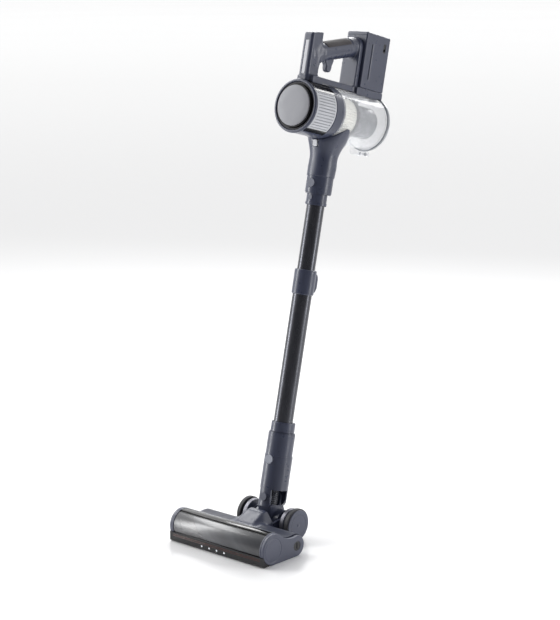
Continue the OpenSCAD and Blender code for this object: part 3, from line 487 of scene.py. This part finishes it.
# edge rounding in mm, where it isn't 0.4
BEVELS = {"front_bezel": 0.3, "elbow": 0.8}
# nodes with a shape of their own further down
OWN = {
    "handle_shell", "grip_pad", "neck_duct", "neck_ramp", "end_cap_left", "end_cap_right", "battery_case",
    "roller_window", "trigger", "filter_cover",
}
# inner nodes, which stay as they are and only get a material
INNER = {
    "brush_motor", "motor_pulley", "drive_belt", "head_screws", "wheel_axles", "hepa_filter",
    "motor_body", "fan_rotor", "battery_cells", "trigger_pin", "lid_hinge_pin", "brush_bristles",
}

for node, mat in PLAIN.items():
    if node in OWN:
        continue
    if node == "neck_hose":
        hose = refined(node, mat, 0.3)
        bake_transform(hose)
    elif node in INNER:
        NODES[node].data.materials.clear()
        NODES[node].data.materials.append(MATS[mat])
    else:
        refined(node, mat, BEVELS.get(node, 0.4), BODY[node])

# ---------------------------------------------------------------- handset
# Points are (x, c, s): mm across, back along the motor's axis and up the wand.

BODY_S = 765.5  # motor's and cup's axis
BODY_AXIS = (0, BODY_S)
MOTOR_R, CUP_R, LID_R = 52, 53.8, 55.2
MOTOR_END, CUP_END = -18.5, 107
GRIP_C, GRIP_S = -67, 874.6  # grip's front end
GRIP_TILT = math.radians(16.3)
POST_BACK, POST_TOP = -62.8, 914.5
POST_SLOPE = math.radians(12)
STAY = (38, 48.6)  # front and back of the stay behind the grip


def flow(t, knots, values):
    """Smooth curve through values at knots."""
    knots, values = np.array(knots, float), np.array(values, float)
    slope = np.gradient(values, knots)
    i = np.clip(np.searchsorted(knots, t) - 1, 0, len(knots) - 2)
    span = knots[i + 1] - knots[i]
    u = np.clip((t - knots[i]) / span, 0, 1)
    return ((2 * u ** 3 - 3 * u ** 2 + 1) * values[i] + (u ** 3 - 2 * u ** 2 + u) * span * slope[i]
            + (3 * u ** 2 - 2 * u ** 3) * values[i + 1] + (u ** 3 - u ** 2) * span * slope[i + 1])


def along_grip(p):
    """Distance along the grip's axis, height over it, and distance from it."""
    x, c, s = p.T
    t = (c - GRIP_C) * math.cos(GRIP_TILT) + (s - GRIP_S) * math.sin(GRIP_TILT)
    up = -(c - GRIP_C) * math.sin(GRIP_TILT) + (s - GRIP_S) * math.cos(GRIP_TILT)
    return t, up, length(x, up)


def grip_point(t):
    """Point on the grip's axis."""
    return np.array((0, GRIP_C + t * math.cos(GRIP_TILT), GRIP_S + t * math.sin(GRIP_TILT)))


def grip_shape(p):
    """Round grip with a fuller underside and finger ripples along it."""
    x = p[:, 0]
    t, up, r = along_grip(p)
    ripple = (0.55 * (1 + np.cos((t - 41) * 2 * math.pi / 9.6)) * rise(t, 34, 42) * (1 - rise(t, 84, 90))
              * rise(-up / np.maximum(r, 1), 0.5, 0.92))
    belly = length(x, up + 2.6 * rise(-up, -6, 10))
    return np.maximum(belly - 8.5 - 8.9 * rise(t, -14, 13) + ripple, np.abs(t - 50) - 62)


def handle_solid(p):
    """Post, rail, grip, stay and battery dock, before anything is cut out."""
    x, c, s = p.T
    top = (s - POST_TOP - (c - POST_BACK) * math.tan(POST_SLOPE)) * math.cos(POST_SLOPE)
    post = cut(block(p, (-11.7, -95.5, 780), (11.7, POST_BACK, 930), 5), -top, 4.5)
    rail = block(p, (-20, -88, 800), (20, 42, 827.5), 2.5)
    web = plate(c, s, x, [(-68, 848), (-61, 854), (-50, 861), (-43, 880), (-68, 880)], 9, 2)
    collar = rod(p, grip_point(93), grip_point(110), 18.3, 1)
    stay = join(block(p, (-20, STAY[0], 805), (20, STAY[1], 906), 1.5),
                rod(p, (0, STAY[0], 906), (0, STAY[1], 906), 20, 1.5), 0.5)
    dock = block(p, (-26.6, 40, 800), (26.6, 121.9, 828), 2)
    solid = post
    for part, k in ((rail, 7), (grip_shape(p), 8), (web, 7), (collar, 1), (stay, 4), (dock, 1.5)):
        solid = join(solid, part, k)
    return solid


def handle_shell(p):
    """Handle with the motor and cup, the slots for button, trigger and display, and the screws cut out."""
    x, c, s = p.T
    barrel = length(x, s - BODY_S) - np.where(c < MOTOR_END, MOTOR_R, np.where(c < CUP_END, CUP_R, LID_R))
    shell = cut(handle_solid(p), barrel, 0.8)
    shell = cut(shell, block(p, (-9.6, 113, 808), (9.6, 130, 826)), 0.5)
    shell = cut(shell, block(p, (-6.6, -47, 846), (6.6, -9.5, 878), 0.5), 0.5)
    shell = cut(shell, block(p, (-4, -99, 828), (4, -91.5, 893), 1), 0.5)
    for sc, ss, side in ((-82, 840, 11.5), (-82, 875, 11.5), (43, 850, 20), (43, 895, 20)):
        shell = cut(shell, rod(p, (-side - 2, sc, ss), (-side + 0.8, sc, ss), 2.7), 0.3)
    return shell


def soft_pad(p):
    """Soft cover on the grip's upper side."""
    t, up, r = along_grip(p)
    shell = np.abs(r - 17.45) - 0.75
    ends = np.maximum(15 + 0.45 * (17 - up) - t, t - 89.5)
    return cut(cut(shell, -ends, 0.6), up - 7, 0.6)


shaped("handle_body", handle_shell, (-29, -99, 797), (29, 125, 929), 1.3, WAND, "slate", "handset",
       "handle_shell")
shaped("soft_grip", soft_pad, (-20, -62, 872), (20, 32, 926), 0.9, WAND, "pad", "handset", "grip_pad")


def neck_duct(p):
    """Duct that widens from the round wand collar to the barrel, with the cup button's recess."""
    x, c, s = p.T
    knots = (630, 645, 660, 686, 700, 714, 728, 745)
    wide = flow(s, knots, (24.8, 25.2, 26, 26.3, 30.2, 36.2, 42.4, 49))
    deep = flow(s, knots, (26.4, 26.6, 26.9, 27, 30.8, 34.6, 31.5, 24))
    middle = flow(s, knots, (1.5, 1.7, 2.4, 2.6, 3.6, 5.2, 6.6, 8))
    power = 2.35
    ring = (np.abs(x / wide) ** power + np.abs((c - middle) / deep) ** power) ** (1 / power)
    duct = (ring - 1) * np.minimum(wide, deep)
    duct = cut(cut(duct, 741.5 - s, 1.5), s - 643.2)
    barrel = length(x, s - BODY_S) - np.where(c < -40, 51, np.where(c < MOTOR_END, MOTOR_R, 52.4))
    duct = cut(duct, barrel, 1.2)
    tilt = math.radians(13.7)  # of the duct's front face
    up = -(c + 28.6) * math.sin(tilt) + (s - 706) * math.cos(tilt)
    out = -(c + 28.6) * math.cos(tilt) - (s - 706) * math.sin(tilt)
    q = np.stack((x, up, out), -1)
    return cut(duct, block(q, (-5.6, -6.9, -7), (5.6, 6.9, 12), 1.2), 0.6)


shaped("duct_body", neck_duct, (-54, -35, 641), (54, 44, 744), 1.3, WAND, "slate", "handset", "neck_duct")


BATTERY_HALF_W, BATTERY_FOOT, BATTERY_TOP = 25.8, 828.4, 938.5


def battery_case(p):
    """Upright case with a seam near its top, grooved sides, the charging slot and the button's slot."""
    x, c, s = p.T
    case = block(p, (-BATTERY_HALF_W, 49, 820), (BATTERY_HALF_W, 122.6, 945), 2.4)
    case = cut(case, s - BATTERY_FOOT, 0.8)
    case = cut(case, BATTERY_TOP - s, 5)
    seam = np.abs(s - 930.5) - 0.4
    case = cut(case, np.maximum(seam, -block(p, (-25.2, 49.6, 800), (25.2, 122, 960), 2)), 0.2)
    for side, _ in SIDES:
        wall = side * BATTERY_HALF_W
        case = cut(case, block(p, (wall - 0.7, 67.5, 846), (wall + 0.7, 72.5, 917), 0.6), 0.5)
    case = cut(case, block(p, (20, 104, 906), (27, 111, 923), 1), 0.4)
    return cut(case, block(p, (-8.3, 115, 903.7), (8.3, 125, 918.3), 0.5), 0.4)


shaped("battery_shell", battery_case, (-27, 47, 826), (27.5, 125, 940.5), 1.2, WAND, "slate", "battery",
       "battery_case")


def trigger(p):
    """Tooth under the grip with a round tip."""
    x, c, s = p.T
    tooth = plate(c, s, x, [(-41, 862), (-34.6, 853), (-21.6, 853), (-16.5, 866), (-17.5, 872), (-36, 880),
                            (-42, 876)], 5.8, 2)
    return join(tooth, rod(p, (-5.8, -28.1, 850.4), (5.8, -28.1, 850.4), 8, 3), 3)


shaped("trigger_tooth", trigger, (-8, -46, 840), (8, -12, 884), 0.9, WAND, "slate_light", "trigger",
       "trigger")


def barrel_panel(name, start, end, r0, r1, mat, front=-99.6, back=-40.4):
    """Panel bent round the motor casing, between two angles in degrees from its top."""
    outline = [(r0, front), (r1 - 0.2, front), (r1, front + 0.3), (r1, back - 0.3), (r1 - 0.2, back),
               (r0, back)]
    count = max(3, round((end - start) / 2.5))
    bm = bmesh.new()
    rows = []
    for i in range(count + 1):
        a = math.radians(start + (end - start) * i / count)
        rows.append([bm.verts.new(wand(r * math.sin(a), c, BODY_S + r * math.cos(a))) for r, c in outline])
    for a, b in zip(rows, rows[1:]):
        for k in range(len(outline)):
            m = (k + 1) % len(outline)
            bm.faces.new((a[k], a[m], b[m], b[k]))
    bm.faces.new(rows[0])
    bm.faces.new(rows[-1][::-1])
    bmesh.ops.recalc_face_normals(bm, faces=bm.faces)
    finish_mesh(add(name, mesh_from(bm, name), mat, "handset"))


# glossy cover with ribs over the vents' upper ends, one under their lower ends, and a grey lining behind them as
# painted shade in the slots
barrel_panel("vent_cover_top", -52, 52, 50.6, 51.9, "gloss")
for side, name in SIDES:
    for k, middle in enumerate((27, 34)):
        barrel_panel(f"cover_rib_{name}_{k}", side * middle - 0.9, side * middle + 0.9, 51.6, 52.5, "gloss")
    barrel_panel(f"vent_cover_{name}", *sorted((side * 140, side * 152)), 50.6, 51.7, "gloss")
    barrel_panel(f"vent_slot_shade_{name}", *sorted((side * 28, side * 150)), 48.6, 49.6, "vent_shade", -97, -43)

# glossy lines along the rail under the grip
for side, name in SIDES:
    swept(f"rail_trim_{name}", [(-58, 815.2), (36, 815.2), (36, 816.6), (-58, 816.6)],
          (side * 19.7, side * 20.25), "gloss", "handset", place=WAND, edge=0.2)

# silver disc on a black skirt, in front of the motor
turned("disc_skirt", BODY_AXIS, [(0.3, -107.2), (41, -107.2), (41.8, -106.4), (41.8, -98), (0.3, -98)],
       "matt_black", "filter_unit", place=WAND, axis="y")
turned("disc_plate", BODY_AXIS, [(0.3, -107), (0.3, -110.3), (20, -110.2), (37.2, -109.9), (38.5, -109.5),
                                 (39, -108.7), (39, -107)],
       "silver", "filter_unit", "filter_cover", place=WAND, axis="y")

# ends of the hinge block under the cup, and the thick edges of the clear cup and its lid as opaque grey rings, a
# painted reflection
for side, name in SIDES:
    turned(f"hinge_end_{name}", (120, BODY_S - 60.2),
           [(0.4, side * 6.9), (3.4, side * 6.9), (3.4, side * 7.3), (0.4, side * 7.3)],
           "rim", "cup", place=WAND)
turned("cup_edge", BODY_AXIS, [(52.2, 116.4), (54.2, 116.4), (54.5, 117.2), (54.2, 118), (52.2, 118)],
       "rim", "cup", place=WAND, axis="y")
turned("lid_edge", BODY_AXIS, [(51.6, 120.4), (54.3, 119), (55, 120), (55, 122.4), (54.3, 123.4),
                               (51.6, 123.4)],
       "lid_edge_reflection", "lid", place=WAND, axis="y")

# shaded floor of the groove in the battery's sides
for side, name in SIDES:
    swept(f"battery_groove_{name}", [(68.4, 847), (71.6, 847), (71.6, 916), (68.4, 916)],
          (side * 24.9, side * 25.5), "groove", "battery", place=WAND, edge=0.15)

# ---------------------------------------------------------------- floor head
# Points are mm across, back and up, with the floor at 0.

LOBE, LOBE_R = (-127.3, 29.9), 29.9  # round front over the brush
REAR, REAR_R = (-62.4, 20.2), 20.2  # round back
DIP_R = 50  # hollow between them
HALF_W, CAP_IN = 122, 115  # outer and inner faces of the end caps
RAMP_HALF_W = 36.3


def head_outline(lift=0.0):
    """Side outline of the head: front round, hollow and rear round, which can be lifted."""
    (ly, lz), (ry, rz) = LOBE, (REAR[0], REAR[1] + lift)
    span = math.hypot(ry - ly, rz - lz)
    ay, az = (ry - ly) / span, (rz - lz) / span
    reach, reach_back = LOBE_R + DIP_R, REAR_R + DIP_R
    a = (reach ** 2 - reach_back ** 2 + span ** 2) / (2 * span)
    h = math.sqrt(reach ** 2 - a * a)
    dip = (ly + a * ay - h * az, lz + a * az + h * ay)
    front = math.degrees(math.atan2(dip[1] - lz, dip[0] - ly))
    back = math.degrees(math.atan2(dip[1] - rz, dip[0] - ry))
    return (arc(LOBE, LOBE_R, 270, front, 26) + arc(dip, DIP_R, front + 180, back + 180, 8)
            + arc((ry, rz), REAR_R, back, -90, 18))


def end_cap(side):
    """Distance to one end cap: a plate with a round line, a pin hole and, on the right, the dial's hole."""
    outline = head_outline()

    def distance(p):
        x, y, z = p.T
        cap = plate(y, z, x - side * (HALF_W + CAP_IN) / 2, outline, (HALF_W - CAP_IN) / 2, 1.2)
        ring = length(length(y - LOBE[0] + 3, z - LOBE[1] + 1) - 22.5, x - side * (HALF_W + 0.15)) - 0.75
        cap = cut(cap, ring, 0.4)
        cap = cut(cap, rod(p, (side * (CAP_IN - 2), -126, 26.2), (side * (CAP_IN + 4), -126, 26.2), 3.1))
        if side > 0:
            hole = rod(p, (HALF_W - 4, *REAR), (HALF_W + 3, *REAR), 9.3)
            cap = cut(cap, hole, 0.6)
        return cap

    return distance


for side, name in SIDES:
    x0, x1 = sorted((side * (CAP_IN - 1.5), side * (HALF_W + 1.5)))
    shaped(f"cap_{name}_body", end_cap(side), (x0, -159, -2), (x1, -40, 62), 0.8, HEAD, "slate_light",
           "head", f"end_cap_{name}")


def hull_planes(points):
    """Outward planes of the convex hull of points."""
    bm = bmesh.new()
    for q in points:
        bm.verts.new(q)
    bmesh.ops.convex_hull(bm, input=bm.verts)
    planes = []
    middle = np.mean(points, axis=0)
    for f in bm.faces:
        n = np.array(f.normal)
        d = float(n @ np.array(f.verts[0].co))
        if n @ middle > d:
            n, d = -n, -d
        if not any(abs(n @ m - 1) < 1e-4 and abs(d - e) < 0.05 for m, e in planes):
            planes.append((n, d))
    bm.free()
    return planes


RAMP = hull_planes([
    (x * sx, y, z) for sx in (-1, 1) for x, y, z in (
        (22, -84, 36), (22, -84, 39.5), (22, -70, 39.5), (RAMP_HALF_W, -58, 36), (RAMP_HALF_W, -58, 39),
        (RAMP_HALF_W, -33, 36), (RAMP_HALF_W, -33, 39), (20, -45, 60), (20, -33, 60))])


def neck_ramp(p):
    """Sloping hill in front of the neck, softly rounded, on a slab that follows the head's outline."""
    x, y, z = p.T
    hill = 0.9 * np.log(sum(np.exp(np.minimum((p @ n - d) / 0.9, 60)) for n, d in RAMP))
    slab = plate(y, z, x, head_outline(2.4), RAMP_HALF_W, 0.4)
    slab = np.maximum(np.maximum(slab, -84 - y), np.maximum(y + 43.5, 22 - z))
    return join(hill, slab, 5)


shaped("ramp_body", neck_ramp, (-38.5, -86.5, 20), (38.5, -31, 62), 1.1, HEAD, "slate", "head", "neck_ramp")


# smoky window over the brush, the strips above it with a light grey bead along the hood as a painted highlight
# line, and its bright lip at each cap
swept("window_shell", band(LOBE, 29.3, 27.2, 115, 199, 40), both(CAP_IN - 0.1), "smoke", "head",
      "roller_window", edge=0.35)
swept("window_hood", band(LOBE, 29.9, 27.4, 72, 106, 20), both(CAP_IN - 0.2), "gloss", "head", edge=0.6)
swept("window_gap", band(LOBE, 28.3, 27.3, 105, 116, 8), both(CAP_IN - 0.2), "matt_black", "head")
swept("hood_highlight_bead", band(LOBE, 30.5, 29.2, 69, 75, 6), both(CAP_IN - 0.2), "rim", "head", edge=0.5)
for side, name in SIDES:
    swept(f"window_lip_{name}", band(LOBE, 30.2, 28.9, 66, 199, 48),
          (side * (CAP_IN - 2.6), side * (CAP_IN + 0.2)), "slate_light", "head", edge=0.4)

# dark red lines along the bumper
for k, z in enumerate((12.2, 15.2)):
    swept(f"bumper_line_{k}", [(-157.35, z), (-156.4, z), (-156.4, z + 0.7), (-157.35, z + 0.7)],
          both(CAP_IN - 2), "amber", "head", edge=0.1)

# each wheel's bright inner band, the line round its cap and the hub in the middle
WHEEL_AXIS = (4.1, 32)
for side, name in SIDES:
    wheel = f"wheel_{name}"
    turned(f"{wheel}_band", WHEEL_AXIS, [(28.6, side * 43.8), (29.7, side * 44.6), (30, side * 48.3),
                                         (29.7, side * 52), (28.6, side * 52.8)], "chrome", wheel)
    turned(f"{wheel}_cap_line", WHEEL_AXIS, [(20.6, side * 67.9), (21, side * 68.15), (21.4, side * 67.9)],
           "black", wheel)
    turned(f"{wheel}_hub", WHEEL_AXIS, [(0.4, side * 67.9), (0.4, side * 68.7), (2.9, side * 68.7),
                                        (3.4, side * 68.4), (3.4, side * 67.9)], "slate_light", wheel)

# ---------------------------------------------------------------- stage, light and camera


def studio_world():
    """Light from all round, brighter behind the object than behind the camera."""
    world = bpy.data.worlds.new("studio")
    bpy.context.scene.world = world
    world.use_nodes = True
    tree = world.node_tree
    coords = tree.nodes.new("ShaderNodeTexCoord")
    dot = tree.nodes.new("ShaderNodeVectorMath")
    dot.operation = "DOT_PRODUCT"
    tree.links.new(coords.outputs["Generated"], dot.inputs[0])
    dot.inputs[1].default_value = (0.59, -0.67, 0.45)  # towards the photographer's side and the ceiling
    ramp = tree.nodes.new("ShaderNodeValToRGB")
    tree.links.new(dot.outputs["Value"], ramp.inputs[0])
    ramp.color_ramp.elements[0].position = 0.0
    ramp.color_ramp.elements[0].color = (0.95, 0.95, 0.95, 1)
    ramp.color_ramp.elements[1].position = 0.6
    ramp.color_ramp.elements[1].color = (0.15, 0.15, 0.16, 1)
    background = next(n for n in tree.nodes if n.type == "BACKGROUND")
    tree.links.new(ramp.outputs[0], background.inputs["Color"])
    background.inputs["Strength"].default_value = 1.2


def softbox(name, place, size, power, aim=(0, 0, 0.45)):
    """Rectangular lamp turned towards a point."""
    data = bpy.data.lights.new(name, "AREA")
    data.shape = "RECTANGLE"
    data.size, data.size_y = size
    data.energy = power
    lamp = bpy.data.objects.new(name, data)
    lamp.location = place
    lamp.rotation_euler = (Vector(aim) - Vector(place)).to_track_quat("-Z", "Y").to_euler()
    bpy.context.scene.collection.objects.link(lamp)


def make_floor():
    """Glossy white floor under the object."""
    bm = bmesh.new()
    bmesh.ops.create_circle(bm, cap_ends=True, radius=60, segments=96)
    mesh = bpy.data.meshes.new("floor")
    bm.to_mesh(mesh)
    bm.free()
    floor = bpy.data.objects.new("floor", mesh)
    bpy.context.scene.collection.objects.link(floor)
    s = Shader("studio_floor")
    s.plug(s.bsdf.inputs["Base Color"],
           s.mix(s.span(s.noise(0.1, 1), 0, 1, 0.3, 0.7), (0.94, 0.94, 0.943), (0.943, 0.943, 0.945)))
    s.plug(s.bsdf.inputs["Roughness"], s.span(s.noise(0.2, 1), 0.125, 0.13, 0.3, 0.7))
    floor.data.materials.append(s.material)


studio_world()
make_floor()
softbox("window", (-1.8, -0.45, 2.0), (1.8, 0.8), 34, (0, -0.13, 0.05))
softbox("left", (-2.2, -1.65, 0.9), (0.55, 1.8), 34)
softbox("right", (2.3, 1.3, 1.0), (0.6, 2.0), 25)
softbox("edge", (-1.0, 2.1, 2.0), (2.4, 0.6), 44, (0, 0.1, 0.85))

camera = bpy.data.objects.new("camera", bpy.data.cameras.new("camera"))
bpy.context.scene.collection.objects.link(camera)
bpy.context.scene.camera = camera
camera.location = (2.13821, WAND_0.y - 2.38409, 1.09172)
camera.rotation_euler = (math.radians(90 - 11.37), 0, math.radians(41.57))
camera.data.sensor_width = 36
camera.data.lens = 99.515
camera.data.clip_end = 200
bpy.context.scene.view_settings.view_transform = "Standard"
